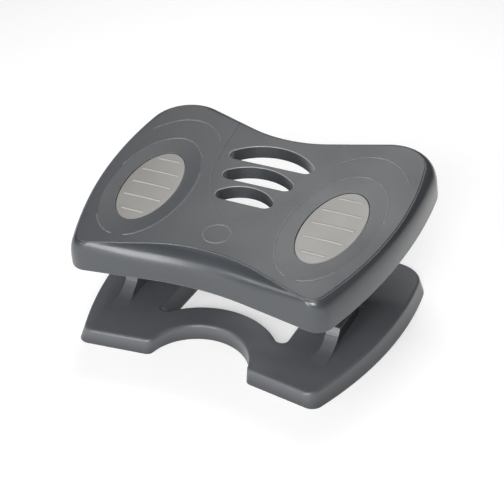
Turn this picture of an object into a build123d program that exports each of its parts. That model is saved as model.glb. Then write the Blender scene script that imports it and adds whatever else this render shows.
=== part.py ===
from build123d import *
import math
import os

os.makedirs("parts", exist_ok=True)

# Place of the platform: pad line, height of its top face there, rest slope with the rear edge higher
PAD_LINE_Y = -38.8
TOP_Z = 181.2
REST_SLOPE = 8.84

# Crease round the flat top, in the plane of the platform: v runs to the rear from the pad line
CREASE_WAIST_FRONT = -86.4
CREASE_FRONT = (163.9, -143.7)
CREASE_SIDE = (208.4, 7.4)
CREASE_REAR = (189.8, 210.4)
CREASE_WAIST_REAR = 147.7
CREASE_BOW_FRONT = 233.0
CREASE_BOW_REAR = 174.0
CREASE_CORNER_FRONT = 20.0
CREASE_CORNER_REAR = 47.0

# Hem at the foot of the skirt, in the same plane coordinates
HEM_WAIST_FRONT = -121.7
HEM_FRONT = (176.6, -149.6)
HEM_SIDE = (220.6, 26.1)
HEM_REAR = (208.8, 242.6)
HEM_WAIST_REAR = 163.0
HEM_BOW_FRONT = 430.0
HEM_BOW_REAR = 190.0
HEM_CORNER_FRONT = 24.0
HEM_CORNER_REAR = 72.4

# Platform skin
SKIRT_DEPTH = 43.5
PANEL_STEP = 1.5
PANEL_INSET = 1.2
PANEL_EDGE = 1.0
SKIN = 4.0
SKIRT_WALL = 3.2
RIB_WALL = 2.5
RIB_DEPTH = 20.0
RIB_X = 88.0
RIB_V = (-78.0, 89.7)

# Shares of the way from crease to hem, and of the skirt's depth, which roll the shoulder over
SHOULDER = ((0.0, 0.0), (0.5, 0.14), (0.82, 0.42), (1.0, 1.0))

# Grip pads, their dishes and the thin raised arcs round them
PAD_X = 132.0
PAD_HALF_WIDTH = 38.0
PAD_HALF_LENGTH = 76.5
PAD_TOE_OUT = 4.0
PAD_POCKET_GAP = 0.6
PAD_FLOOR = 6.5
PAD_EDGE_HEIGHT = 4.6
PAD_CROWN = 1.0
PAD_ROUNDING = 1.6
PAD_RIB_PITCH = 29.0
PAD_RIB_WIDTH = 3.0
PAD_RIB_HEIGHT = 0.9
PAD_RIB_COUNT = 5
PAD_RIB_MARGIN = 8.0
TRAY_WALL = 3.0
DISH_HALF_WIDTH = 57.5
DISH_HALF_LENGTH = 109.5
DISH_DEPTH = 3.0
ARC_WIDTH = 1.8
ARC_HEIGHT = 0.6
INNER_ARC = (59.5, 111.5)
OUTER_ARC = (82.5, 159.5)
INNER_ARC_SPANS = ((29.0, 119.0), (144.0, 264.0), (273.0, 297.0))
OUTER_ARC_SPAN = (67.0, 113.0)

# Three crescent slots, each with its front edge, rear crown and half width, and the recess round them
SLOTS = ((5.0, 40.5, 39.0), (48.5, 86.0, 53.0), (93.5, 137.5, 63.0))
SLOT_END = 11.0
SLOT_OVERHANG = 0.9
SLOT_RIM = 1.5
SLOT_COLLAR_WALL = 2.5
SLOT_COLLAR_DEPTH = 21.0
TONGUE_DEPTH = 1.4
TONGUE_TIP = -34.0
TONGUE_WAIST = (49.5, 14.0)
TONGUE_HIP = (74.8, 102.0)
TONGUE_TAIL = (85.0, 195.0)
BADGE_V = -65.0
BADGE_RADIUS = 19.0
BADGE_LINE = 1.4
BADGE_HEIGHT = 0.5

# Base in plan at the floor and at its top, with the front arch and the bridge behind it
BASE_RIM = 0.5
BASE_FRONT_HEIGHT = 20.5
BASE_CROWN_HEIGHT = 24.5
BASE_REAR_HEIGHT = 22.0
BASE_TOP_PLANE = 26.0
BASE_WALL = 3.0
BASE_EDGE = 4.0
ARCH_Y = -172.8
ARCH_RADIUS = 70.0
BRIDGE_Y = -165.7
FLOOR_BRIDGE_RADIUS = 110.0
TOP_BRIDGE_RADIUS = 107.0
FLOOR_NOTCH_ANGLE = 49.8
TOP_NOTCH_ANGLE = 65.2
FLOOR_TOE_Y = -167.9
TOP_TOE_Y = -163.0
FLOOR_FRONT = (171.5, -182.2)
FLOOR_SIDE = (215.5, -11.8)
FLOOR_REAR = (209.0, 162.3)
TOP_FRONT = (163.5, -177.0)
TOP_SIDE = (207.5, -11.8)
TOP_REAR = (201.0, 156.8)
CORNER_FRONT = 16.0
CORNER_TOE = 10.0
CORNER_REAR = 46.0
CORNER_HEEL = 20.0
CORNER_NOTCH = 9.0
BASE_RIB_Y = (-96.7, 13.3, 73.3)
BASE_RIB_X = 120.0
BASE_RIB_FOOT = 8.0

# Towers, sockets and side covers
TOWER_INNER_X = 142.0
TOWER_OUTER_X = 160.0
TOWER_Y = -34.8
TOWER_TOP = 49.5
TOWER_TOP_HALF = 34.0
TOWER_LEAN = 60.0
FLARE_RADIUS = 40.0
FLARE_END = 8.0
FLARE_FOOT = 23.5
SOCKET_HALF = 28.3
MOUTH_LIP = 3.0
HOOK_REACH = 3.0
COVER_DEPTH = 2.2
COVER_THICKNESS = 1.6
COVER_MARGIN = 3.0
COVER_FOOT_Z = 28.0
COVER_RIB = 0.5
COVER_RIB_WIDTH = 1.6
COVER_RIB_PITCH = 8.0
COVER_RIB_COUNT = 7
COVER_GAP = 0.15
LEAF_HALF = 16.0
LEAF_HEIGHT = 8.0
LEAF_THICKNESS = 0.8
LEAF_Z = 38.0

# Legs, axle and tilt stop
RUN_GAP = 0.3
LEG_THICKNESS = 10.2
LEG_BOTTOM = 28.0
HEIGHT_TRAVEL = 24.0
HEIGHT_STEPS = 2
SHOULDER_REACH = 3.0
SHOULDER_HEIGHT = 4.0
LEG_GROOVE = 1.0
LEG_GROOVE_WIDTH = 3.0
LEG_GROOVE_PITCH = 9.0
LEG_GROOVE_COUNT = 5
NOTCH_WIDTH = 4.0
NOTCH_DEPTH = 1.2
AXLE_Z = 142.0
AXLE_RADIUS = 5.0
AXLE_FIT = 0.05
HEAD_RADIUS = 21.0
WASHER_RADIUS = 12.0
WASHER_THICKNESS = 3.0
SPRING_WASHER_RADIUS = 10.0
SPRING_WASHER_THICKNESS = 2.0
NUT_ACROSS_FLATS = 16.0
NUT_THICKNESS = 8.0
AXLE_END = 2.0
STOP_RADIUS = 15.5
STOP_PIN_RADIUS = 2.5
SEAT_FIT = 0.02
SLOPE_MIN = 0.0
SLOPE_MAX = 20.0

# Hinge brackets under the platform
BRACKET_WALL = 7.0
BRACKET_HUB = 14.0
BRACKET_INNER_X = 98.0
BRACKET_HALF = 27.0
FLANGE_THICKNESS = 4.0
BOSS_HEIGHT = 5.0
BOSS_RADIUS = 5.0
BOSS_X = (107.0, 126.0)
BOSS_V = 18.0
SCREW_RADIUS = 2.0
SCREW_HEAD_RADIUS = 4.0
SCREW_HEAD_HEIGHT = 2.4
SCREW_LENGTH = 10.0
BUSH_RADIUS = 7.0
BUSH_FLANGE_RADIUS = 10.0
BUSH_FLANGE = 1.5

# Rubber feet
FOOT_RADIUS = 13.0
FOOT_HEIGHT = 4.5
FOOT_EDGE = 1.0
FOOT_STEM_RADIUS = 4.0
FOOT_STEM = 8.0
FOOT_POST_RADIUS = 9.0
FOOT_FRONT = (141.0, -149.3)
FOOT_REAR = (165.0, 123.2)

# How close a corner or an edge lies to the place where it is looked for
NEAR = 1.0
SAME_LEVEL = 0.01

# Sizes that follow from the ones above
PLATFORM = Location((0, PAD_LINE_Y, TOP_Z), (REST_SLOPE, 0, 0))
TRAY_FLOOR = PAD_FLOOR + TRAY_WALL
SOCKET_MID_X = (TOWER_INNER_X + TOWER_OUTER_X - COVER_DEPTH) / 2
SOCKET_WIDTH = LEG_THICKNESS + 2 * RUN_GAP
LEG_INNER_X = SOCKET_MID_X - LEG_THICKNESS / 2
LEG_OUTER_X = SOCKET_MID_X + LEG_THICKNESS / 2
LEG_HALF = SOCKET_HALF - RUN_GAP
LIP_UNDER = TOWER_TOP - MOUTH_LIP
SHOULDER_Z = TOWER_TOP + HEIGHT_TRAVEL + RUN_GAP
BRACKET_OUTER_X = LEG_INNER_X - WASHER_THICKNESS - RUN_GAP
BRACKET_PLATE_X = BRACKET_OUTER_X - BRACKET_WALL
SLOPE_COS = math.cos(math.radians(REST_SLOPE))
SLOPE_SIN = math.sin(math.radians(REST_SLOPE))
AXLE_V = (TOWER_Y - PAD_LINE_Y) * SLOPE_COS + (AXLE_Z - TOP_Z) * SLOPE_SIN
AXLE_W = (AXLE_Z - TOP_Z) * SLOPE_COS - (TOWER_Y - PAD_LINE_Y) * SLOPE_SIN
STOP_PIN_END = SOCKET_MID_X
COVER_X = TOWER_OUTER_X - COVER_DEPTH
SCREW_TIP = PAD_FLOOR + TRAY_WALL / 2
FLANGE_TOP = TRAY_FLOOR + BOSS_HEIGHT
AXLE_END_X = LEG_OUTER_X + SPRING_WASHER_THICKNESS + NUT_THICKNESS + AXLE_END


def blend(first, last, share):
    return first + (last - first) * share


def blend_point(first, last, share):
    return (blend(first[0], last[0], share), blend(first[1], last[1], share))


def soften(face, radius, chosen):
    corners = [corner for corner in face.vertices() if chosen(corner)]
    return fillet(corners, radius)


def mirrored(shape):
    return mirror(shape, about=Plane.YZ)


# Platform
def bow_tie(share):
    waist_front = blend(CREASE_WAIST_FRONT, HEM_WAIST_FRONT, share)
    waist_rear = blend(CREASE_WAIST_REAR, HEM_WAIST_REAR, share)
    front_x, front_v = blend_point(CREASE_FRONT, HEM_FRONT, share)
    side_x, side_v = blend_point(CREASE_SIDE, HEM_SIDE, share)
    rear_x, rear_v = blend_point(CREASE_REAR, HEM_REAR, share)
    edges = [
        Line((0, waist_front), (front_x, front_v)),
        ThreePointArc((front_x, front_v), (side_x, side_v), (rear_x, rear_v)),
        Line((rear_x, rear_v), (0, waist_rear)),
        Line((0, waist_rear), (-rear_x, rear_v)),
        ThreePointArc((-rear_x, rear_v), (-side_x, side_v), (-front_x, front_v)),
        Line((-front_x, front_v), (0, waist_front)),
    ]
    face = make_face(edges)
    bow_front = blend(CREASE_BOW_FRONT, HEM_BOW_FRONT, share)
    bow_rear = blend(CREASE_BOW_REAR, HEM_BOW_REAR, share)
    corner_front = blend(CREASE_CORNER_FRONT, HEM_CORNER_FRONT, share)
    corner_rear = blend(CREASE_CORNER_REAR, HEM_CORNER_REAR, share)
    face = soften(face, corner_front, lambda c: abs(c.X) > NEAR and c.Y < 0)
    face = soften(face, corner_rear, lambda c: abs(c.Y - rear_v) < NEAR)
    face = soften(face, bow_front, lambda c: abs(c.X) < NEAR and c.Y < 0)
    return soften(face, bow_rear, lambda c: abs(c.X) < NEAR and c.Y > 0)


def rolled_skirt(inset, top):
    sections = []
    for share, depth in SHOULDER:
        face = bow_tie(share)
        if inset > 0:
            face = offset(face, amount=-inset)
        level = blend(top, SKIRT_DEPTH, depth)
        sections.append(Pos(0, 0, -level) * face)
    return loft(sections)


def low_cap(half_width, half_length, height):
    radius = (half_width**2 + height**2) / (2 * height)
    arc = RadiusArc((half_width, 0), (0, height), -radius)
    profile = make_face([arc, Line((0, height), (0, 0)), Line((0, 0), (half_width, 0))])
    cap = revolve(Plane.XZ * profile, Axis.Z)
    return scale(cap, by=(1, half_length / half_width, 1))


def at_pad(side):
    return Location((side * PAD_X, 0, 0), (0, 0, -side * PAD_TOE_OUT))


def prism(face, low, high):
    return Pos(0, 0, low) * extrude(face, amount=high - low)


def crescent(front, crown, half_width):
    height = crown - front
    reach = half_width + SLOT_END * SLOT_OVERHANG
    arc = ThreePointArc((reach, front), (0, crown), (-reach, front))
    face = make_face([arc, Line((-reach, front), (reach, front))])
    return soften(face, min(SLOT_END, height / 3), lambda c: True)


def arc_band(half_axes, span):
    half_width, half_length = half_axes
    ring = Ellipse(half_width + ARC_WIDTH / 2, half_length + ARC_WIDTH / 2)
    ring -= Ellipse(half_width - ARC_WIDTH / 2, half_length - ARC_WIDTH / 2)
    reach = 2 * half_length
    start, end = (math.radians(angle) for angle in span)
    sweep = CenterArc((0, 0), reach, span[0], span[1] - span[0])
    first = (reach * math.cos(start), reach * math.sin(start))
    last = (reach * math.cos(end), reach * math.sin(end))
    sector = make_face([Line((0, 0), first), sweep, Line(last, (0, 0))])
    return prism(ring & sector, -SKIN / 2, ARC_HEIGHT)


def tongue():
    right = [TONGUE_WAIST, TONGUE_HIP, TONGUE_TAIL]
    left = [(-x, v) for x, v in reversed(right)]
    edge = Spline(left + [(0, TONGUE_TIP)] + right)
    return make_face([edge, Line(right[-1], left[0])])


def under_ribs(hollow):
    depth = HEM_REAR[1] - HEM_FRONT[1]
    width = 2 * HEM_SIDE[0]
    ribs = [Pos(x, 0, -RIB_DEPTH / 2) * Box(RIB_WALL, 2 * depth, RIB_DEPTH) for x in (-RIB_X, RIB_X)]
    ribs += [Pos(0, v, -RIB_DEPTH / 2) * Box(width, RIB_WALL, RIB_DEPTH) for v in RIB_V]
    return [rib & hollow for rib in ribs]


def pad_arcs():
    arcs = [arc_band(INNER_ARC, span) for span in INNER_ARC_SPANS]
    arcs.append(arc_band(OUTER_ARC, OUTER_ARC_SPAN))
    right = [at_pad(1) * arc for arc in arcs]
    return right + [mirrored(arc) for arc in right]


def boss_spots():
    return [Pos(side * x, AXLE_V + v, 0) for side in (-1, 1) for x in BOSS_X for v in (-BOSS_V, BOSS_V)]


def round_slot_rims(shell):
    rims = []
    level = (-TONGUE_DEPTH - SAME_LEVEL, -TONGUE_DEPTH + SAME_LEVEL)
    for edge in shell.edges().filter_by_position(Axis.Z, *level):
        middle = edge.center()
        for front, crown, half_width in SLOTS:
            if abs(middle.X) < half_width + NEAR and front - NEAR < middle.Y < crown + NEAR:
                rims.append(edge)
    return fillet(rims, SLOT_RIM)


def foot_plate():
    hollow = rolled_skirt(SKIRT_WALL, SKIN)
    panel = prism(offset(bow_tie(0), amount=-PANEL_INSET), -PANEL_STEP, 0)
    panel = fillet(panel.faces().sort_by(Axis.Z)[-1].edges(), PANEL_EDGE)
    shell = rolled_skirt(0, PANEL_STEP) + panel - hollow
    slots = [crescent(*slot) for slot in SLOTS]
    pocket_half = (PAD_HALF_WIDTH + PAD_POCKET_GAP, PAD_HALF_LENGTH + PAD_POCKET_GAP)
    tray = Ellipse(pocket_half[0] + TRAY_WALL, pocket_half[1] + TRAY_WALL)
    added = under_ribs(hollow) + pad_arcs()
    added += [prism(offset(slot, amount=SLOT_COLLAR_WALL), -SLOT_COLLAR_DEPTH, -SKIN / 2) for slot in slots]
    added += [at_pad(side) * prism(tray, -TRAY_FLOOR, -SKIN / 2) for side in (-1, 1)]
    for piece in added:
        shell += piece
    dish = Rot(180, 0, 0) * low_cap(DISH_HALF_WIDTH, DISH_HALF_LENGTH, DISH_DEPTH)
    pocket = prism(Ellipse(*pocket_half), -PAD_FLOOR, SKIN)
    for side in (-1, 1):
        shell -= at_pad(side) * dish
        shell -= at_pad(side) * pocket
    boss = prism(Circle(BOSS_RADIUS), -FLANGE_TOP, -SCREW_TIP)
    hole = prism(Circle(SCREW_RADIUS + SEAT_FIT), -FLANGE_TOP, -SCREW_TIP)
    for spot in boss_spots():
        shell += spot * boss
        shell -= spot * hole
    shell -= prism(tongue(), -TONGUE_DEPTH, SKIN)
    badge = Circle(BADGE_RADIUS) - Circle(BADGE_RADIUS - BADGE_LINE)
    shell += Pos(0, BADGE_V, 0) * prism(badge, -SKIN / 2, BADGE_HEIGHT)
    for slot in slots:
        shell -= prism(slot, -SKIRT_DEPTH, SKIN)
    return round_slot_rims(shell)


def grip_pad():
    edge_level = PAD_EDGE_HEIGHT - PAD_FLOOR
    pad = prism(Ellipse(PAD_HALF_WIDTH, PAD_HALF_LENGTH), -PAD_FLOOR, edge_level)
    pad += Pos(0, 0, edge_level) * low_cap(PAD_HALF_WIDTH, PAD_HALF_LENGTH, PAD_CROWN)
    rim = pad.edges().filter_by_position(Axis.Z, edge_level - SAME_LEVEL, edge_level + SAME_LEVEL)
    pad = fillet(rim, PAD_ROUNDING)
    for index in range(PAD_RIB_COUNT):
        v = (index - (PAD_RIB_COUNT - 1) / 2) * PAD_RIB_PITCH
        chord = 2 * PAD_HALF_WIDTH * math.sqrt(1 - (v / PAD_HALF_LENGTH) ** 2)
        rib = SlotOverall(chord - 2 * PAD_RIB_MARGIN, PAD_RIB_WIDTH)
        level = edge_level + PAD_CROWN * (1 - (v / PAD_HALF_LENGTH) ** 2)
        bar = prism(rib, -PAD_FLOOR / 2, level + PAD_RIB_HEIGHT)
        bar = fillet(bar.faces().sort_by(Axis.Z)[-1].edges(), PAD_RIB_HEIGHT / 2)
        pad += Pos(0, v, 0) * Rot(0, 0, PAD_TOE_OUT) * bar
    return pad


# Base
def base_plan(share, inset):
    ring = blend(FLOOR_BRIDGE_RADIUS, TOP_BRIDGE_RADIUS, share)
    notch_angle = math.radians(blend(FLOOR_NOTCH_ANGLE, TOP_NOTCH_ANGLE, share))
    inner_x = ring * math.sin(notch_angle) + inset
    bridge = ring - inset
    arch = ARCH_RADIUS + inset
    toe_y = blend(FLOOR_TOE_Y, TOP_TOE_Y, share) + inset
    toe = (math.sqrt(arch**2 - (toe_y - ARCH_Y) ** 2), toe_y)
    front_x, front_y = blend_point(FLOOR_FRONT, TOP_FRONT, share)
    side_x, side_y = blend_point(FLOOR_SIDE, TOP_SIDE, share)
    rear_x, rear_y = blend_point(FLOOR_REAR, TOP_REAR, share)
    front = (front_x - inset, front_y + inset)
    side = (side_x - inset, side_y)
    rear = (rear_x - inset, rear_y - inset)
    heel = (inner_x, rear_y - inset)
    notch = (inner_x, BRIDGE_Y + math.sqrt(bridge**2 - inner_x**2))

    def left(point):
        return (-point[0], point[1])

    edges = [
        ThreePointArc(left(toe), (0, ARCH_Y + arch), toe),
        Line(toe, front),
        ThreePointArc(front, side, rear),
        Line(rear, heel),
        Line(heel, notch),
        ThreePointArc(notch, (0, BRIDGE_Y + bridge), left(notch)),
        Line(left(notch), left(heel)),
        Line(left(heel), left(rear)),
        ThreePointArc(left(rear), left(side), left(front)),
        Line(left(front), left(toe)),
    ]
    face = make_face(edges)

    def near(point):
        return lambda c: abs(abs(c.X) - point[0]) < NEAR and abs(c.Y - point[1]) < NEAR

    face = soften(face, CORNER_TOE - inset, near(toe))
    face = soften(face, CORNER_FRONT - inset, near(front))
    face = soften(face, CORNER_REAR - inset, near(rear))
    face = soften(face, CORNER_HEEL - inset, near(heel))
    return soften(face, CORNER_NOTCH + inset, near(notch))


def crown(drop):
    front = (FLOOR_FRONT[1], BASE_FRONT_HEIGHT - drop)
    middle = (TOWER_Y, BASE_CROWN_HEIGHT - drop)
    rear = (FLOOR_REAR[1], BASE_REAR_HEIGHT - drop)
    edges = [
        ThreePointArc(front, middle, rear),
        Line(rear, (rear[0], 0)),
        Line((rear[0], 0), (front[0], 0)),
        Line((front[0], 0), front),
    ]
    return extrude(Plane.YZ * make_face(edges), amount=2 * FLOOR_SIDE[0], both=True)


def base_block(inset, drop):
    sections = []
    for share, level in ((0, BASE_RIM), (1, BASE_TOP_PLANE)):
        sections.append(Pos(0, 0, level) * base_plan(share, inset))
    return loft(sections, ruled=True) & crown(drop)


def tower_side(margin, foot):
    lean = math.radians(TOWER_LEAN)
    end = math.radians(FLARE_END)
    top_half = TOWER_TOP_HALF - margin / math.sin(lean)
    radius = FLARE_RADIUS + margin
    top = TOWER_TOP - margin
    hub_z = FLARE_FOOT + FLARE_RADIUS / math.cos(end)
    knee_z = hub_z - radius * math.cos(lean)
    knee = top_half + (TOWER_TOP - knee_z) / math.tan(lean)
    hub = knee + radius * math.sin(lean)
    middle = (lean + end) / 2
    bend = (hub - radius * math.sin(middle), hub_z - radius * math.cos(middle))
    toe = (hub - radius * math.sin(end), hub_z - radius * math.cos(end))
    half = top_half + margin / math.tan(lean)
    right = [(half, top), (knee, knee_z), bend, toe, (toe[0], foot)]
    left = [(-y, z) for y, z in right]
    edges = [
        Line(left[0], right[0]),
        Line(right[0], right[1]),
        ThreePointArc(right[1], right[2], right[3]),
        Line(right[3], right[4]),
        Line(right[4], left[4]),
        Line(left[4], left[3]),
        ThreePointArc(left[3], left[2], left[1]),
        Line(left[1], left[0]),
    ]
    return Pos(TOWER_Y, 0) * make_face(edges)


def across(face, start, end):
    return Pos(start, 0, 0) * extrude(Plane.YZ * face, amount=end - start)


def block_between(x, y, z):
    size = (x[1] - x[0], y[1] - y[0], z[1] - z[0])
    middle = ((x[0] + x[1]) / 2, (y[0] + y[1]) / 2, (z[0] + z[1]) / 2)
    return Pos(*middle) * Box(*size)


def round_bar(radius, start, end, y, z):
    return Location((start, y, z), (0, 90, 0)) * prism(Circle(radius), 0, end - start)


def cover_outline(gap):
    face = tower_side(COVER_MARGIN + gap, 0)
    keep = Pos(TOWER_Y, COVER_FOOT_Z + gap + TOWER_TOP / 2) * Rectangle(8 * TOWER_TOP_HALF, TOWER_TOP)
    return face & keep


def base_ribs(cavity):
    height = (BASE_RIB_FOOT, BASE_TOP_PLANE)
    width = (-FLOOR_SIDE[0], FLOOR_SIDE[0])
    depth = (FLOOR_FRONT[1], FLOOR_REAR[1])
    half = RIB_WALL / 2
    ribs = [block_between(width, (y - half, y + half), height) for y in BASE_RIB_Y]
    ribs += [block_between((x - half, x + half), depth, height) for x in (-BASE_RIB_X, BASE_RIB_X)]
    return [rib & cavity for rib in ribs]


def foot_spots():
    return [Pos(side * x, y, 0) for side in (-1, 1) for x, y in (FOOT_FRONT, FOOT_REAR)]


def socket_cuts():
    width = (SOCKET_MID_X - SOCKET_WIDTH / 2, SOCKET_MID_X + SOCKET_WIDTH / 2)
    well = SOCKET_HALF + HOOK_REACH + RUN_GAP
    slit = LEAF_HALF + RUN_GAP
    slit_half = LEAF_HEIGHT / 2 + RUN_GAP
    slit_level = (LEAF_Z - slit_half, LEAF_Z + slit_half)
    return [
        block_between(width, (TOWER_Y - SOCKET_HALF, TOWER_Y + SOCKET_HALF), (0, 2 * TOWER_TOP)),
        block_between(width, (TOWER_Y - well, TOWER_Y + well), (0, LIP_UNDER)),
        block_between((SOCKET_MID_X, COVER_X), (TOWER_Y - slit, TOWER_Y + slit), slit_level),
        across(cover_outline(0), COVER_X, TOWER_OUTER_X + COVER_DEPTH),
    ]


def base_shell():
    outer = base_block(0, 0)
    outer = fillet(outer.faces().sort_by(Axis.Z)[-1].edges(), BASE_EDGE)
    cavity = base_block(BASE_WALL, BASE_WALL)
    shell = outer - cavity + base_ribs(cavity)
    post = prism(Circle(FOOT_POST_RADIUS), FOOT_HEIGHT, BASE_TOP_PLANE)
    stem = prism(Circle(FOOT_STEM_RADIUS + SEAT_FIT), FOOT_HEIGHT, FOOT_HEIGHT + FOOT_STEM)
    for spot in foot_spots():
        shell += (spot * post) & cavity
    for spot in foot_spots():
        shell -= spot * stem
    tower = across(tower_side(0, BASE_CROWN_HEIGHT - BASE_WALL), TOWER_INNER_X, TOWER_OUTER_X)
    shell += [tower, mirrored(tower)]
    for cut in socket_cuts():
        shell -= [cut, mirrored(cut)]
    return shell


def tower_cover():
    face = cover_outline(COVER_GAP)
    cover = across(face, COVER_X, COVER_X + COVER_THICKNESS)
    for index in range(COVER_RIB_COUNT):
        y = TOWER_Y + (index - (COVER_RIB_COUNT - 1) / 2) * COVER_RIB_PITCH
        line = face & (Pos(y, TOWER_TOP / 2) * Rectangle(COVER_RIB_WIDTH, TOWER_TOP))
        cover += across(line, COVER_X, COVER_X + COVER_THICKNESS + COVER_RIB)
    return cover


def detent_leaf():
    end_x = COVER_X - LEAF_THICKNESS
    nose_x = SOCKET_MID_X + SOCKET_WIDTH / 2
    edges = [
        ThreePointArc((COVER_X, -LEAF_HALF), (nose_x + LEAF_THICKNESS, 0), (COVER_X, LEAF_HALF)),
        Line((COVER_X, LEAF_HALF), (end_x, LEAF_HALF)),
        ThreePointArc((end_x, LEAF_HALF), (nose_x, 0), (end_x, -LEAF_HALF)),
        Line((end_x, -LEAF_HALF), (COVER_X, -LEAF_HALF)),
    ]
    strip = prism(make_face(edges), LEAF_Z - LEAF_HEIGHT / 2, LEAF_Z + LEAF_HEIGHT / 2)
    return Pos(0, TOWER_Y, 0) * strip


def rubber_foot():
    disc = prism(Circle(FOOT_RADIUS), 0, FOOT_HEIGHT)
    disc = fillet(disc.edges().sort_by(Axis.Z)[0], FOOT_EDGE)
    return disc + prism(Circle(FOOT_STEM_RADIUS), FOOT_HEIGHT, FOOT_HEIGHT + FOOT_STEM)


# Legs and axle
def upright(half_width, low, high):
    return Pos(TOWER_Y, (low + high) / 2) * Rectangle(2 * half_width, high - low)


def leg():
    collar = upright(LEG_HALF + SHOULDER_REACH, SHOULDER_Z, SHOULDER_Z + SHOULDER_HEIGHT)
    head = Pos(TOWER_Y, AXLE_Z) * Circle(HEAD_RADIUS)
    side = make_hull(collar.edges() + head.edges())
    side += upright(LEG_HALF, LEG_BOTTOM, SHOULDER_Z)
    side += upright(LEG_HALF + HOOK_REACH, LEG_BOTTOM, LIP_UNDER - RUN_GAP)
    solid = across(side, LEG_INNER_X, LEG_OUTER_X)
    groove_top = AXLE_Z - HEAD_RADIUS - LEG_GROOVE_WIDTH
    for index in range(LEG_GROOVE_COUNT):
        y = TOWER_Y + (index - (LEG_GROOVE_COUNT - 1) / 2) * LEG_GROOVE_PITCH
        span = (y - LEG_GROOVE_WIDTH / 2, y + LEG_GROOVE_WIDTH / 2)
        solid -= block_between((LEG_OUTER_X - LEG_GROOVE, TOWER_OUTER_X), span, (SHOULDER_Z, groove_top))
    for step in range(HEIGHT_STEPS + 1):
        z = LEAF_Z + step * HEIGHT_TRAVEL / HEIGHT_STEPS
        span = (TOWER_Y - LEAF_HALF / 2, TOWER_Y + LEAF_HALF / 2)
        level = (z - NOTCH_WIDTH / 2, z + NOTCH_WIDTH / 2)
        solid -= block_between((LEG_OUTER_X - NOTCH_DEPTH, TOWER_OUTER_X), span, level)
    solid -= round_bar(AXLE_RADIUS + SEAT_FIT, 0, TOWER_OUTER_X, TOWER_Y, AXLE_Z)
    return solid - round_bar(STOP_PIN_RADIUS + SEAT_FIT, 0, STOP_PIN_END, TOWER_Y, AXLE_Z + STOP_RADIUS)


def axle():
    rod = round_bar(AXLE_RADIUS, -AXLE_END_X, AXLE_END_X, TOWER_Y, AXLE_Z)
    return chamfer(rod.edges().filter_by(GeomType.CIRCLE), AXLE_END / 2)


def friction_washer():
    solid = prism(Circle(WASHER_RADIUS) - Circle(AXLE_RADIUS + SEAT_FIT), 0, WASHER_THICKNESS)
    return Location((LEG_INNER_X - WASHER_THICKNESS, TOWER_Y, AXLE_Z), (0, 90, 0)) * solid


def spring_washer():
    hole = AXLE_RADIUS + SEAT_FIT
    half = SPRING_WASHER_THICKNESS / 2
    rim = [(SPRING_WASHER_RADIUS, 0), (SPRING_WASHER_RADIUS, half), (hole, 2 * half), (hole, half)]
    section = Polyline(*rim, close=True)
    cone = revolve(Plane.XZ * make_face(section), Axis.Z)
    return Location((LEG_OUTER_X, TOWER_Y, AXLE_Z), (0, 90, 0)) * cone


def lock_nut():
    start = LEG_OUTER_X + SPRING_WASHER_THICKNESS
    hexagon = RegularPolygon(NUT_ACROSS_FLATS / 2, 6, major_radius=False)
    nut = prism(hexagon - Circle(AXLE_RADIUS + SEAT_FIT), 0, NUT_THICKNESS)
    return Location((start, TOWER_Y, AXLE_Z), (0, 90, 0)) * nut


def stop_pin():
    return round_bar(STOP_PIN_RADIUS, BRACKET_PLATE_X, STOP_PIN_END, TOWER_Y, AXLE_Z + STOP_RADIUS)


# Hinge brackets, drawn in the plane of the platform
def hinge_bracket():
    flange_under = FLANGE_TOP + FLANGE_THICKNESS
    foot = Pos(AXLE_V, -FLANGE_TOP - FLANGE_THICKNESS / 2) * Rectangle(2 * BRACKET_HALF, FLANGE_THICKNESS)
    hub = Pos(AXLE_V, AXLE_W) * Circle(BRACKET_HUB)
    plate = make_hull(foot.edges() + hub.edges())
    plate -= Pos(AXLE_V, AXLE_W) * Circle(BUSH_RADIUS + SEAT_FIT)
    sweep = CenterArc((AXLE_V, AXLE_W), STOP_RADIUS, 90 - SLOPE_MAX, SLOPE_MAX - SLOPE_MIN)
    plate -= SlotArc(sweep, 2 * (STOP_PIN_RADIUS + RUN_GAP))
    bracket = across(plate, BRACKET_PLATE_X, BRACKET_OUTER_X)
    depth = (AXLE_V - BRACKET_HALF, AXLE_V + BRACKET_HALF)
    bracket += block_between((BRACKET_INNER_X, BRACKET_OUTER_X), depth, (-flange_under, -FLANGE_TOP))
    hole = prism(Circle(SCREW_RADIUS + SEAT_FIT), -flange_under, -FLANGE_TOP)
    return bracket - [spot * hole for spot in boss_spots()]


def axle_bush():
    bore = Circle(AXLE_RADIUS + AXLE_FIT)
    bush = prism(Circle(BUSH_RADIUS) - bore, 0, BRACKET_WALL)
    bush += prism(Circle(BUSH_FLANGE_RADIUS) - bore, -BUSH_FLANGE, 0)
    return Location((BRACKET_PLATE_X, AXLE_V, AXLE_W), (0, 90, 0)) * bush


def bracket_screws():
    under = FLANGE_TOP + FLANGE_THICKNESS
    screw = prism(Circle(SCREW_HEAD_RADIUS), -under - SCREW_HEAD_HEIGHT, -under)
    screw += prism(Circle(SCREW_RADIUS), -under, -under + SCREW_LENGTH)
    return Compound(children=[spot * screw for spot in boss_spots()])


def save(shape, name):
    export_step(shape, f"parts/{name}.step")


def save_pair(shape, name):
    save(shape, f"right_{name}")
    save(mirrored(shape), f"left_{name}")


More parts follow.
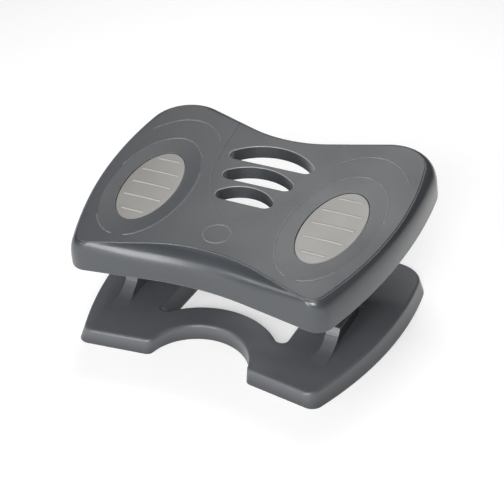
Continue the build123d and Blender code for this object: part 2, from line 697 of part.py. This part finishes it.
save(base_shell(), "base_shell")
save_pair(tower_cover(), "tower_cover")
save_pair(detent_leaf(), "detent_leaf")
save_pair(Pos(*FOOT_FRONT) * rubber_foot(), "front_foot")
save_pair(Pos(*FOOT_REAR) * rubber_foot(), "rear_foot")
save_pair(leg(), "leg")
save(axle(), "axle")
save_pair(friction_washer(), "friction_washer")
save_pair(spring_washer(), "spring_washer")
save_pair(lock_nut(), "lock_nut")
save_pair(stop_pin(), "stop_pin")
save(PLATFORM * foot_plate(), "foot_plate")
save_pair(PLATFORM * at_pad(1) * grip_pad(), "pad")
save_pair(PLATFORM * hinge_bracket(), "hinge_bracket")
save_pair(PLATFORM * axle_bush(), "axle_bush")
save(PLATFORM * bracket_screws(), "bracket_screws")
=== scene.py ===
import math

import bmesh
import bpy
from mathutils import Matrix, Vector


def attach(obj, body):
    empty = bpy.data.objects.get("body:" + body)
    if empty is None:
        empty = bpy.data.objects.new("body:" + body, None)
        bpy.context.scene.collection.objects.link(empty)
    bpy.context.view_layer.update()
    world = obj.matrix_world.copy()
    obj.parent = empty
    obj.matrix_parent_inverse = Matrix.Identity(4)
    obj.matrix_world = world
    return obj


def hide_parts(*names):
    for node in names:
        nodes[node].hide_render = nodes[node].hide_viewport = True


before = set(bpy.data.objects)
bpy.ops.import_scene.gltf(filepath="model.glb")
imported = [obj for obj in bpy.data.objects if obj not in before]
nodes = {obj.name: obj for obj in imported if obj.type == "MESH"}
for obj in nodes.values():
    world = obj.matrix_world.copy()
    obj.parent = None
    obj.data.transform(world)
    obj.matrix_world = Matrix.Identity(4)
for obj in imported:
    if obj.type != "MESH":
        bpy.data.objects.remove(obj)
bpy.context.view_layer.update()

MM = 0.001

# Plane of the platform's top at rest, as in the solids
PAD_LINE = Vector((0, -38.8, 181.2)) * MM
REST_SLOPE = math.radians(8.84)
PLATFORM = Matrix.Translation(PAD_LINE) @ Matrix.Rotation(REST_SLOPE, 4, "X")
PLATFORM_UP = PLATFORM.to_3x3() @ Vector((0, 0, 1))
PLATFORM_BACK = PLATFORM.to_3x3() @ Vector((0, 1, 0))

# Part of the platform that holds the slots, in its plane
SLOT_FIELD_HALF = 78.0 * MM
SLOT_FIELD_FRONT = 2.0 * MM
SLOT_FIELD_REAR = 141.0 * MM

# Joining of the platform's CAD faces
JOIN_GAP = 0.002 * MM
SHARP_ANGLE = math.radians(14.0)

# Grip pads, in the plane of the platform
PAD_X = 132.0 * MM
PAD_HALF_WIDTH = 38.0 * MM
PAD_HALF_LENGTH = 76.5 * MM
PAD_TOE_OUT = math.radians(4.0)
PAD_LEAN = math.tan(PAD_TOE_OUT)
PAD_BOTTOM = -6.5 * MM
PAD_EDGE = -1.9 * MM
PAD_CROWN = 1.0 * MM
PAD_ROUNDING = 1.6 * MM
PAD_ROWS = 64
PAD_COLUMNS = 56

# Ribs of the pads; their own rows of points keep the pad's rows at a clearance
RIB_PITCH = 29.0 * MM
RIB_COUNT = 5
RIB_MIDDLES = [(index - (RIB_COUNT - 1) / 2) * RIB_PITCH for index in range(RIB_COUNT)]
RIB_HALF = 1.7 * MM
RIB_HEIGHT = 0.6 * MM
RIB_MARGIN = 8.0 * MM
RIB_END = 2.0 * MM
RIB_ROWS = 8
RIB_CLEARANCE = 1.3 * RIB_HALF

# Roots of the towers, which spread onto the base; lengths run forward or back from a tower's middle
TOWER_Y = -34.8 * MM
TOWER_INNER = 142.0 * MM
TOWER_OUTER = 159.8 * MM
FLARE_HUB = Vector((71.88, 63.89)) * MM
FLARE_RADIUS = 40.0 * MM
ROOT_TOP_ANGLE = math.radians(52.0)
ROOT_LEAVE_ANGLE = math.radians(20.0)
ROOT_END = 92.0 * MM
ROOT_SPREAD_TOP = 0.2 * MM
ROOT_SPREAD_FOOT = 15.0 * MM
ROOT_SPREAD_POWER = 1.5
ROOT_EDGE = 0.1 * MM
ROOT_LIFT = 0.15 * MM
ROOT_DIP = 0.3 * MM
ROOT_SINK = 1.2 * MM
ROOT_CREASE = math.radians(35.0)
ROOT_ROWS = 18
ROOT_COLUMNS = 20

# Crown of the base's top along the same lengths: height, slope and curve per metre
CROWN_HEIGHT = 24.5 * MM
CROWN_SLOPE = 0.0101
CROWN_CURVE = -0.1156

# Tints of the greys, as factors on red, green and blue
NEUTRAL = (1.0, 1.0, 1.0)
COOL = (0.9, 1.0, 1.13)
STONE = (0.94, 1.0, 1.09)
WARM = (1.06, 1.0, 0.9)
BEIGE = (1.02, 1.0, 0.93)

# Tones of the finishes, as linear reflectance
PLATE_TONE = 0.04
BASE_TONE = 0.098
BLACK_TONE = 0.016
BEARING_TONE = 0.55
PAD_TONE = 0.215
FOOT_TONE = 0.018
DUST_TONE = 0.07
AXLE_TONE = 0.55
SPRING_TONE = 0.4
FLOOR_TONE = 0.6

# Lighter edges, as factors on the tone: worn edges at the usual gain, painted highlights on the
# platform's edges, the slots' rims and the ribs' crests
EDGE_GAIN = 1.5
PLATE_HIGHLIGHT_GAIN = 10.0
SLOT_RIM_HIGHLIGHT_GAIN = 6.5
RIB_HIGHLIGHT_GAIN = 2.1

# Roughness of the plastics, and the weight of their clear skin
SKIRT_ROUGH = 0.34
TOP_ROUGH = 0.5
BASE_ROUGH = 0.36
BLACK_ROUGH = 0.5
BEARING_ROUGH = 0.45
ROUGH_SWING = 0.04
EDGE_POLISH = 0.08
SHEEN = 0.4
TOP_SHEEN = 0.0
BASE_SHEEN = 0.15
SHEEN_ROUGH = 0.2

# Grain of the surfaces: strength on the plastics, depth in metres
SHELL_GRAIN = 0.12
BLACK_GRAIN = 0.2
BEARING_GRAIN = 0.08
GRAIN_DEPTH = 0.1 * MM
PIT_DEPTH = 0.15 * MM
LINE_DEPTH = 0.05 * MM

# Shaded rounding of edges, wider on the base below its crown
EDGE_ROUNDING = 0.8 * MM
FINE_ROUNDING = 0.4 * MM
BASE_ROLL = 3.5 * MM
BASE_CROWN = 24.8 * MM
ROLL_FADE = 2.0 * MM
EDGE_SAMPLES = 6

# Painted shade on the foot of the base, darker toward the floor
PAINTED_SHADE_TOP = 22.0 * MM
PAINTED_SHADE_SHARE = 0.85
PAINTED_SHADE_TONE = 0.35

# Ends of masks: clouds in a noise, worn edges (a painted highlight on the platform), the flat top,
# painted highlights on rims of slots and on crests of ribs
CLOUDS = (0.3, 0.7)
EDGE_MASK = (0.995, 0.8)
FLAT_FACING = (0.955, 0.985)
RIM_HIGHLIGHT_FOOT = (0.1, 0.35)
RIM_HIGHLIGHT_TOP = (0.98, 0.9)
RIB_HIGHLIGHT_ENDS = (0.25, 0.9)
RIB_HIGHLIGHT_SHARE = 0.9

# Camera, found from the photograph's perspective
CAMERA_PLACE = Vector((0.5666, -1.2018, 0.9145))
CAMERA_AZIMUTH = math.radians(25.21)
CAMERA_ELEVATION = math.radians(31.96)
CAMERA_LENS = 81.0
CAMERA_SENSOR = 36.0

# Floor, sky with a haze at the horizon, and the point that the lights face
FLOOR_HALF = 30.0
FLOOR_GLOW = 0.46
FLOOR_ROUGH = 0.9
SKY_STRENGTH = 0.07
HAZE_STRENGTH = 0.52
HAZE_TOP = 0.07
LIT_POINT = Vector((0, 0, 0.12))

# Places of a mixing node's colour sockets, whose names are not unique
MIX_SHARE = 0
MIX_FIRST = 6
MIX_SECOND = 7
MIX_RESULT = 2


# Node helpers
class Painter:
    """Builds one procedural material on the coordinates of the piece itself."""

    def __init__(self, name):
        self.material = bpy.data.materials.new(name)
        self.material.use_nodes = True
        self.tree = self.material.node_tree
        self.shader = self.tree.nodes["Principled BSDF"]
        self.place = self.tree.nodes.new("ShaderNodeTexCoord")

    def node(self, kind, **sockets):
        made = self.tree.nodes.new(kind)
        for name, value in sockets.items():
            self.feed(made.inputs[name.replace("_", " ")], value)
        return made

    def feed(self, socket, value):
        if isinstance(value, bpy.types.NodeSocket):
            self.tree.links.new(value, socket)
        else:
            socket.default_value = value

    def set(self, name, value):
        self.feed(self.shader.inputs[name], value)

    def source(self, name):
        return self.shader.inputs[name].links[0].from_socket

    def stretched(self, stretch):
        mapping = self.node("ShaderNodeMapping", Vector=self.place.outputs["Object"], Scale=stretch)
        return mapping.outputs["Vector"]

    def noise(self, scale, detail=3.0, rough=0.5, vector=None):
        made = self.node("ShaderNodeTexNoise", Scale=scale, Detail=detail, Roughness=rough)
        self.feed(made.inputs["Vector"], vector or self.place.outputs["Object"])
        return made.outputs["Fac"]

    def fit(self, value, low, high, to_low=0.0, to_high=1.0):
        made = self.node("ShaderNodeMapRange", From_Min=low, From_Max=high, To_Min=to_low, To_Max=to_high)
        made.interpolation_type = "SMOOTHSTEP"
        self.feed(made.inputs["Value"], value)
        return made.outputs["Result"]

    def math(self, operation, first, second=0.0):
        made = self.tree.nodes.new("ShaderNodeMath")
        made.operation = operation
        self.feed(made.inputs[0], first)
        self.feed(made.inputs[1], second)
        return made.outputs["Value"]

    def mix(self, share, first, second):
        made = self.tree.nodes.new("ShaderNodeMix")
        made.data_type = "RGBA"
        self.feed(made.inputs[MIX_SHARE], share)
        self.feed(made.inputs[MIX_FIRST], first)
        self.feed(made.inputs[MIX_SECOND], second)
        return made.outputs[MIX_RESULT]

    def lay(self, under, over, mask, start, full, share=1.0):
        return self.mix(self.fit(mask, start, full, 0.0, share), under, over)

    def along(self, vector, direction):
        made = self.tree.nodes.new("ShaderNodeVectorMath")
        made.operation = "DOT_PRODUCT"
        self.feed(made.inputs[0], vector)
        self.feed(made.inputs[1], direction)
        return made.outputs["Value"]

    def height(self):
        parts = self.node("ShaderNodeSeparateXYZ", Vector=self.place.outputs["Object"])
        return parts.outputs["Z"]

    def edges(self, radius):
        bevel = self.node("ShaderNodeBevel", Radius=radius)
        bevel.samples = EDGE_SAMPLES
        rounded = bevel.outputs["Normal"]
        geometry = self.tree.nodes.new("ShaderNodeNewGeometry")
        return rounded, self.fit(self.along(rounded, geometry.outputs["Normal"]), *EDGE_MASK)

    def bump(self, height, strength, distance, normal=None):
        made = self.node("ShaderNodeBump", Strength=strength, Distance=distance, Height=height)
        if normal:
            self.feed(made.inputs["Normal"], normal)
        return made.outputs["Normal"]


def grey(level, tint=NEUTRAL):
    return (level * tint[0], level * tint[1], level * tint[2], 1.0)


# Moulded plastic: fine eroded grain, cloudy tone, faint rubbed marks and edges polished by use; its
# lighter edges are wear at the usual gain and a painted highlight at a high gain
def moulded_plastic(name, tone, tint, rough, grain, edge_radius=EDGE_ROUNDING, roll=None, gain=EDGE_GAIN):
    paint = Painter(name)
    if roll:
        edge_radius = paint.fit(paint.height(), BASE_CROWN, BASE_CROWN + ROLL_FADE, roll, edge_radius)
    clouds = paint.noise(scale=9.0, detail=4.0)
    speckle = paint.noise(scale=1400.0, detail=2.0)
    mottle = paint.noise(scale=420.0, detail=2.0)
    scuffs = paint.noise(scale=60.0, detail=6.0, rough=0.7, vector=paint.stretched((1.0, 5.0, 5.0)))
    rounded, wear_and_highlight = paint.edges(edge_radius)
    colour = paint.lay(grey(tone * 0.94, tint), grey(tone * 1.05, tint), clouds, *CLOUDS)
    colour = paint.lay(colour, grey(tone * 1.25, tint), speckle, start=0.4, full=0.75, share=0.35)
    colour = paint.lay(colour, grey(tone * 1.2, tint), mottle, start=0.35, full=0.7, share=0.5)
    colour = paint.lay(colour, grey(tone * 1.7, tint), scuffs, start=0.66, full=0.8, share=0.16)
    # Lighter edges: wear at the usual gain, a painted highlight at the platform's high gain
    paint.set("Base Color", paint.mix(wear_and_highlight, colour, grey(tone * gain)))
    dull = paint.fit(clouds, *CLOUDS, rough - ROUGH_SWING, rough + ROUGH_SWING)
    paint.set("Roughness", paint.math("SUBTRACT", dull, paint.math("MULTIPLY", wear_and_highlight, EDGE_POLISH)))
    paint.set("Normal", paint.bump(speckle, grain, GRAIN_DEPTH, rounded))
    paint.set("Coat Weight", SHEEN)
    paint.set("Coat Roughness", SHEEN_ROUGH)
    return paint


# The part of the platform that holds the three slots, whose rounded rims carry a painted highlight
def slot_field(paint):
    place = paint.place.outputs["Object"]
    across = paint.math("ABSOLUTE", paint.along(place, (1, 0, 0)))
    back = paint.math("SUBTRACT", paint.along(place, PLATFORM_BACK), PAD_LINE.dot(PLATFORM_BACK))
    inside = paint.math("LESS_THAN", across, SLOT_FIELD_HALF)
    inside = paint.math("MULTIPLY", inside, paint.math("GREATER_THAN", back, SLOT_FIELD_FRONT))
    return paint.math("MULTIPLY", inside, paint.math("LESS_THAN", back, SLOT_FIELD_REAR))


# Platform plastic: the flat top is matt, the rolled skirt smoother under a clear skin, with painted
# highlights on its edges and on the slots' rims
def platform_plastic():
    paint = moulded_plastic(
        "platform_grey", PLATE_TONE, COOL, SKIRT_ROUGH, SHELL_GRAIN, gain=PLATE_HIGHLIGHT_GAIN
    )
    facing = paint.along(paint.place.outputs["Normal"], PLATFORM_UP)
    flat_top = paint.fit(facing, *FLAT_FACING)
    matt = paint.math("MULTIPLY", flat_top, TOP_ROUGH - SKIRT_ROUGH)
    paint.set("Roughness", paint.math("ADD", paint.source("Roughness"), matt))
    paint.set("Coat Weight", paint.fit(flat_top, 0.0, 1.0, SHEEN, TOP_SHEEN))
    # Painted highlight on the slots' rounded rims, where the surface turns between flat and steep
    rim = paint.math("MULTIPLY", paint.fit(facing, *RIM_HIGHLIGHT_FOOT), paint.fit(facing, *RIM_HIGHLIGHT_TOP))
    rim = paint.math("MULTIPLY", rim, slot_field(paint))
    paint.set("Base Color", paint.mix(rim, paint.source("Base Color"), grey(PLATE_TONE * SLOT_RIM_HIGHLIGHT_GAIN)))
    return paint.material


# Base plastic: a painted shade darkens it toward the floor
def base_plastic(name, roll=None):
    paint = moulded_plastic(name, BASE_TONE, STONE, BASE_ROUGH, SHELL_GRAIN, roll=roll)
    # Painted shade: the colour darkens from below the crown down to the floor
    painted_shade = grey(BASE_TONE * PAINTED_SHADE_TONE, STONE)
    colour = paint.lay(paint.source("Base Color"), painted_shade, paint.height(), PAINTED_SHADE_TOP, 0.0, PAINTED_SHADE_SHARE)
    paint.set("Base Color", colour)
    paint.set("Coat Weight", BASE_SHEEN)
    return paint.material


# Pad rubber: soft satin skin with fine speckle, a little darker where shoes rub, with a painted highlight
# on the ribs
def pad_rubber():
    paint = Painter("pad_rubber")
    clouds = paint.noise(scale=22.0, detail=4.0)
    speckle = paint.noise(scale=1800.0, detail=2.0)
    rubbed = paint.noise(scale=140.0, detail=5.0, rough=0.65, vector=paint.stretched((4.0, 1.0, 1.0)))
    rib = paint.tree.nodes.new("ShaderNodeAttribute")
    rib.attribute_name = "rib"
    colour = paint.lay(grey(PAD_TONE * 0.96, BEIGE), grey(PAD_TONE * 1.04, BEIGE), clouds, *CLOUDS)
    colour = paint.lay(colour, grey(PAD_TONE * 0.8, BEIGE), speckle, start=0.45, full=0.8, share=0.3)
    colour = paint.lay(colour, grey(PAD_TONE * 0.6, BEIGE), rubbed, start=0.64, full=0.8, share=0.14)
    # Painted highlight along the crests of the ribs
    rib_highlight = grey(PAD_TONE * RIB_HIGHLIGHT_GAIN, BEIGE)
    paint.set("Base Color", paint.lay(colour, rib_highlight, rib.outputs["Fac"], *RIB_HIGHLIGHT_ENDS, RIB_HIGHLIGHT_SHARE))
    paint.set("Roughness", paint.fit(clouds, *CLOUDS, to_low=0.42, to_high=0.52))
    paint.set("Normal", paint.bump(speckle, strength=0.1, distance=GRAIN_DEPTH))
    return paint.material


# Foot rubber: black, dull, with fine pitting and floor dust
def foot_rubber():
    paint = Painter("foot_rubber")
    pits = paint.noise(scale=900.0, detail=3.0)
    dust = paint.noise(scale=70.0, detail=5.0, rough=0.6)
    colour = paint.lay(grey(FOOT_TONE), grey(DUST_TONE, WARM), dust, start=0.5, full=0.75, share=0.4)
    paint.set("Base Color", colour)
    paint.set("Roughness", paint.fit(dust, 0.4, 0.7, to_low=0.72, to_high=0.9))
    paint.set("Normal", paint.bump(pits, strength=0.3, distance=PIT_DEPTH))
    return paint.material


# Plated steel: drawn lines along the part and faint dulled patches
def plated_steel(name, tone, stretch):
    paint = Painter(name)
    lines = paint.noise(scale=260.0, detail=4.0, rough=0.6, vector=paint.stretched(stretch))
    dull = paint.noise(scale=90.0, detail=4.0)
    rounded = paint.edges(FINE_ROUNDING)[0]
    colour = paint.lay(grey(tone * 0.88), grey(tone * 1.08), lines, *CLOUDS)
    colour = paint.lay(colour, grey(tone * 0.7, WARM), dull, start=0.55, full=0.75, share=0.4)
    paint.set("Base Color", colour)
    paint.set("Metallic", 1.0)
    paint.set("Roughness", paint.fit(dull, 0.4, 0.7, to_low=0.26, to_high=0.42))
    paint.set("Normal", paint.bump(lines, strength=0.08, distance=LINE_DEPTH, normal=rounded))
    return paint.material


# Finishes of the CAD nodes
def dress(material, *names):
    for name in names:
        slots = nodes[name].data.materials
        slots.clear()
        slots.append(material)


def both(name):
    return (f"left_{name}", f"right_{name}")


dress(platform_plastic(), "foot_plate")
dress(base_plastic("base_grey", roll=BASE_ROLL), "base_shell")
black = moulded_plastic("black_plastic", BLACK_TONE, COOL, BLACK_ROUGH, BLACK_GRAIN)
dress(black.material, *both("leg"), *both("tower_cover"), *both("hinge_bracket"))
bearing = moulded_plastic(
    "bearing_plastic", BEARING_TONE, WARM, BEARING_ROUGH, BEARING_GRAIN, edge_radius=FINE_ROUNDING
)
dress(bearing.material, *both("friction_washer"), *both("axle_bush"))
dress(foot_rubber(), *both("front_foot"), *both("rear_foot"))
axle_steel = plated_steel("axle_steel", AXLE_TONE, stretch=(0.05, 1.0, 1.0))
dress(axle_steel, "axle", *both("stop_pin"), *both("lock_nut"), "bracket_screws")
spring_steel = plated_steel("spring_steel", SPRING_TONE, stretch=(1.0, 0.1, 1.0))
dress(spring_steel, *both("spring_washer"), *both("detent_leaf"))


# Shading of the platform: its CAD faces are joined along their borders, and only real edges stay sharp
def joined_faces():
    group = bpy.data.node_groups.new("joined_faces", "GeometryNodeTree")
    for way in ("INPUT", "OUTPUT"):
        group.interface.new_socket("Geometry", in_out=way, socket_type="NodeSocketGeometry")
    start = group.nodes.new("NodeGroupInput")
    merge = group.nodes.new("GeometryNodeMergeByDistance")
    merge.inputs["Distance"].default_value = JOIN_GAP
    plain = group.nodes.new("GeometryNodeRemoveAttribute")
    plain.inputs["Name"].default_value = "custom_normal"
    angle = group.nodes.new("GeometryNodeInputMeshEdgeAngle")
    steep = group.nodes.new("ShaderNodeMath")
    steep.operation = "GREATER_THAN"
    steep.inputs[1].default_value = SHARP_ANGLE
    crease = group.nodes.new("GeometryNodeSetShadeSmooth")
    crease.domain = "EDGE"
    crease.inputs["Shade Smooth"].default_value = False
    end = group.nodes.new("NodeGroupOutput")
    for source, target in (
        (start.outputs[0], merge.inputs["Geometry"]),
        (merge.outputs[0], plain.inputs["Geometry"]),
        (plain.outputs[0], crease.inputs["Geometry"]),
        (angle.outputs["Unsigned Angle"], steep.inputs[0]),
        (steep.outputs[0], crease.inputs["Selection"]),
        (crease.outputs[0], end.inputs[0]),
    ):
        group.links.new(source, target)
    return group


nodes["foot_plate"].modifiers.new("joined_faces", "NODES").node_group = joined_faces()


# Helpers for pieces made in the scene
def span_rows(shape, rows):
    for first, second in zip(rows, rows[1:]):
        for column in range(len(first) - 1):
            after = column + 1
            shape.faces.new((first[column], first[after], second[after], second[column]))


def smooth_mesh(shape, name):
    bmesh.ops.recalc_face_normals(shape, faces=shape.faces)
    mesh = bpy.data.meshes.new(name)
    shape.to_mesh(mesh)
    shape.free()
    mesh.polygons.foreach_set("use_smooth", [True] * len(mesh.polygons))
    return mesh


def mirror(mesh):
    mesh.transform(Matrix.Diagonal((-1, 1, 1, 1)))
    mesh.flip_normals()


def new_piece(name, mesh, material):
    mesh.materials.append(material)
    piece = bpy.data.objects.new(name, mesh)
    bpy.context.scene.collection.objects.link(piece)
    return piece


# Grip pads: a point's share of the way to the rim, and the distance that is left to it
def pad_reach(x, v):
    reach = math.hypot(x / PAD_HALF_WIDTH, v / PAD_HALF_LENGTH)
    if reach == 0:
        return 0.0, PAD_HALF_WIDTH
    return reach, max(0.0, math.hypot(x, v) * (1 / reach - 1))


def pad_rib(x, v):
    inset = pad_reach(x, v)[1]
    end = min(1.0, max(0.0, (inset - RIB_MARGIN) / RIB_END))
    for middle in RIB_MIDDLES:
        offset = v - x * PAD_LEAN - middle
        if abs(offset) < RIB_HALF:
            return math.cos(offset / RIB_HALF * math.pi / 2) * end * (2 - end)
    return 0.0


def pad_depth(x, v):
    reach, inset = pad_reach(x, v)
    height = PAD_EDGE + PAD_CROWN * max(0.0, 1 - reach**2) + RIB_HEIGHT * pad_rib(x, v)
    if inset < PAD_ROUNDING:
        height -= PAD_ROUNDING - math.sqrt(PAD_ROUNDING**2 - (PAD_ROUNDING - inset) ** 2)
    return height


# Rows of points run along the ribs from rim to rim: where they cross the pad's long axis, and their ends
def pad_row_starts():
    limit = math.hypot(PAD_HALF_LENGTH, PAD_HALF_WIDTH * PAD_LEAN)
    starts = [limit * math.sin(math.pi * (row / PAD_ROWS - 0.5)) for row in range(1, PAD_ROWS)]
    for middle in RIB_MIDDLES:
        starts = [start for start in starts if abs(start - middle) > RIB_CLEARANCE]
        starts += [middle + RIB_HALF * row / RIB_ROWS for row in range(-RIB_ROWS, RIB_ROWS + 1)]
    return sorted(starts)


def row_ends(start):
    a = 1 / PAD_HALF_WIDTH**2 + (PAD_LEAN / PAD_HALF_LENGTH) ** 2
    b = 2 * start * PAD_LEAN / PAD_HALF_LENGTH**2
    c = (start / PAD_HALF_LENGTH) ** 2 - 1
    root = math.sqrt(max(0.0, b * b - 4 * a * c))
    return (-b - root) / (2 * a), (-b + root) / (2 * a)


def pad_row(shape, start):
    low, high = row_ends(start)
    row = []
    for column in range(PAD_COLUMNS + 1):
        share = (1 - math.cos(math.pi * column / PAD_COLUMNS)) / 2
        x = low + (high - low) * share
        v = start + x * PAD_LEAN
        row.append(shape.verts.new((x, v, pad_depth(x, v))))
    return row


def pad_mesh(name):
    shape = bmesh.new()
    rows = [pad_row(shape, start) for start in pad_row_starts()]
    span_rows(shape, rows)
    right = [row[-1] for row in rows]
    left = [row[0] for row in rows]
    rim = right + rows[-1][-2::-1] + left[-2::-1] + rows[0][1:-1]
    lower = [shape.verts.new((vert.co.x, vert.co.y, PAD_BOTTOM)) for vert in rim]
    span_rows(shape, [lower + lower[:1], rim + rim[:1]])
    shape.faces.new(lower[::-1])
    mesh = smooth_mesh(shape, name)
    crests = mesh.attributes.new("rib", "FLOAT", "POINT")
    crests.data.foreach_set("value", [pad_rib(vert.co.x, vert.co.y) for vert in mesh.vertices])
    return mesh


def grip_pad(side, node, material):
    mesh = pad_mesh(f"{node}_rubber")
    if side < 0:
        mirror(mesh)
    turn = Matrix.Translation((side * PAD_X, 0, 0)) @ Matrix.Rotation(-side * PAD_TOE_OUT, 4, "Z")
    mesh.transform(PLATFORM @ turn)
    piece = new_piece(f"{node}_rubber", mesh, material)
    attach(piece, "platform")
    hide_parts(node)


# Tower roots: a tower's flare runs out flat on the base and widens toward the middle of the base
def crown_height(run):
    return CROWN_HEIGHT + CROWN_SLOPE * run + CROWN_CURVE * run**2


def flare_point(angle):
    return FLARE_HUB - FLARE_RADIUS * Vector((math.sin(angle), math.cos(angle)))


# The line down a root: along the flare's arc, then by an even curve out to the base's crown
def root_line(end):
    turn = ROOT_LEAVE_ANGLE - ROOT_TOP_ANGLE
    line = [flare_point(ROOT_TOP_ANGLE + turn * row / ROOT_ROWS) for row in range(ROOT_ROWS)]
    leave = flare_point(ROOT_LEAVE_ANGLE)
    knee_level = crown_height(end * leave.x)
    knee = Vector((leave.x + (leave.y - knee_level) / math.tan(ROOT_LEAVE_ANGLE), knee_level))
    foot = Vector((ROOT_END, crown_height(end * ROOT_END) - ROOT_DIP - ROOT_LIFT))
    for row in range(ROOT_ROWS + 1):
        share = row / ROOT_ROWS
        line.append(leave.lerp(knee, share).lerp(knee.lerp(foot, share), share))
    return line


# One row of a root across the tower: its top and its sole, with the borders under the base's skin
def root_row(shape, end, run, level, spread):
    ground = crown_height(end * run)
    edge = ground - ROOT_DIP
    inner = TOWER_INNER + ROOT_EDGE - spread
    y = TOWER_Y + end * run
    across = [inner + spread * column / (ROOT_COLUMNS - 1) for column in range(ROOT_COLUMNS)]
    top = []
    sole = []
    for x in across + [TOWER_OUTER]:
        slide = min(1.0, (x - inner) / spread)
        swell = (1 - math.cos(math.pi * slide)) / 2
        top.append(shape.verts.new((x, y, edge + (level + ROOT_LIFT - edge) * swell)))
        sole.append(shape.verts.new((x, y, ground - ROOT_SINK)))
    return top, sole


def root_mesh(name, end):
    shape = bmesh.new()
    line = root_line(end)
    tops = []
    soles = []
    for index, (run, level) in enumerate(line):
        share = (index / (len(line) - 1)) ** ROOT_SPREAD_POWER
        spread = ROOT_SPREAD_TOP + (ROOT_SPREAD_FOOT - ROOT_SPREAD_TOP) * share
        top, sole = root_row(shape, end, run, level, spread)
        tops.append(top)
        soles.append(sole)
    span_rows(shape, tops)
    span_rows(shape, soles)
    for border in (0, -1):
        span_rows(shape, [[top[border] for top in tops], [sole[border] for sole in soles]])
        span_rows(shape, [tops[border], soles[border]])
    return smooth_mesh(shape, name)


def tower_root(side, end, name, material):
    mesh = root_mesh(name, end)
    if side < 0:
        mirror(mesh)
    mesh.set_sharp_from_angle(angle=ROOT_CREASE)
    piece = new_piece(name, mesh, material)
    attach(piece, "base")


root_plastic = base_plastic("root_grey")
for side, side_name in ((-1, "left"), (1, "right")):
    for end, end_name in ((-1, "front"), (1, "rear")):
        tower_root(side, end, f"{side_name}_{end_name}_tower_root", root_plastic)

rubber = pad_rubber()
grip_pad(1, "right_pad", rubber)
grip_pad(-1, "left_pad", rubber)


# Floor, light and camera
def floor_finish():
    paint = Painter("floor_white")
    cloud = paint.noise(scale=0.8, detail=3.0)
    paint.set("Base Color", paint.mix(cloud, grey(FLOOR_TONE * 0.98), grey(FLOOR_TONE * 1.02)))
    paint.set("Roughness", FLOOR_ROUGH)
    paint.set("Emission Color", grey(1.0))
    paint.set("Emission Strength", FLOOR_GLOW)
    return paint.material


def floor():
    corners = [(x * FLOOR_HALF, y * FLOOR_HALF, 0) for x, y in ((-1, -1), (1, -1), (1, 1), (-1, 1))]
    mesh = bpy.data.meshes.new("floor")
    mesh.from_pydata(corners, [], [(0, 1, 2, 3)])
    piece = new_piece("floor", mesh, floor_finish())


# A soft box stands at a bearing from the front and a height angle, in degrees, and faces the lit point
def soft_box(name, bearing, height, distance, size, power):
    bearing = math.radians(bearing)
    height = math.radians(height)
    level = math.cos(height)
    toward = Vector((math.sin(bearing) * level, -math.cos(bearing) * level, math.sin(height)))
    light = bpy.data.lights.new(name, "AREA")
    light.shape = "RECTANGLE"
    light.size, light.size_y = size
    light.energy = power
    lamp = bpy.data.objects.new(name, light)
    lamp.location = LIT_POINT + distance * toward
    lamp.rotation_euler = toward.to_track_quat("Z", "Y").to_euler()
    bpy.context.scene.collection.objects.link(lamp)


def sky():
    world = bpy.data.worlds.new("studio")
    world.use_nodes = True
    tree = world.node_tree
    background = tree.nodes["Background"]
    background.inputs["Color"].default_value = grey(1.0)
    place = tree.nodes.new("ShaderNodeTexCoord")
    parts = tree.nodes.new("ShaderNodeSeparateXYZ")
    fade = tree.nodes.new("ShaderNodeMapRange")
    fade.interpolation_type = "SMOOTHSTEP"
    for name, number in (("From Max", HAZE_TOP), ("To Min", HAZE_STRENGTH), ("To Max", SKY_STRENGTH)):
        fade.inputs[name].default_value = number
    tree.links.new(place.outputs["Generated"], parts.inputs["Vector"])
    tree.links.new(parts.outputs["Z"], fade.inputs["Value"])
    tree.links.new(fade.outputs["Result"], background.inputs["Strength"])
    bpy.context.scene.world = world


def camera():
    lens = bpy.data.cameras.new("camera")
    lens.lens = CAMERA_LENS
    lens.sensor_width = CAMERA_SENSOR
    lens.sensor_fit = "HORIZONTAL"
    eye = bpy.data.objects.new("camera", lens)
    eye.location = CAMERA_PLACE
    eye.rotation_euler = (math.pi / 2 - CAMERA_ELEVATION, 0, CAMERA_AZIMUTH)
    bpy.context.scene.collection.objects.link(eye)
    bpy.context.scene.camera = eye


floor()
sky()
soft_box("front", bearing=17, height=29, distance=2.2, size=(0.6, 0.5), power=26)
soft_box("strip", bearing=-9, height=16, distance=1.8, size=(0.5, 0.95), power=16)
soft_box("left", bearing=-40, height=22, distance=2.2, size=(0.6, 0.5), power=5)
soft_box("high", bearing=20, height=55, distance=2.2, size=(0.9, 0.9), power=9)
soft_box("rear", bearing=-163, height=57, distance=2.2, size=(1.2, 1.0), power=30)
camera()
bpy.context.scene.view_settings.view_transform = "Standard"
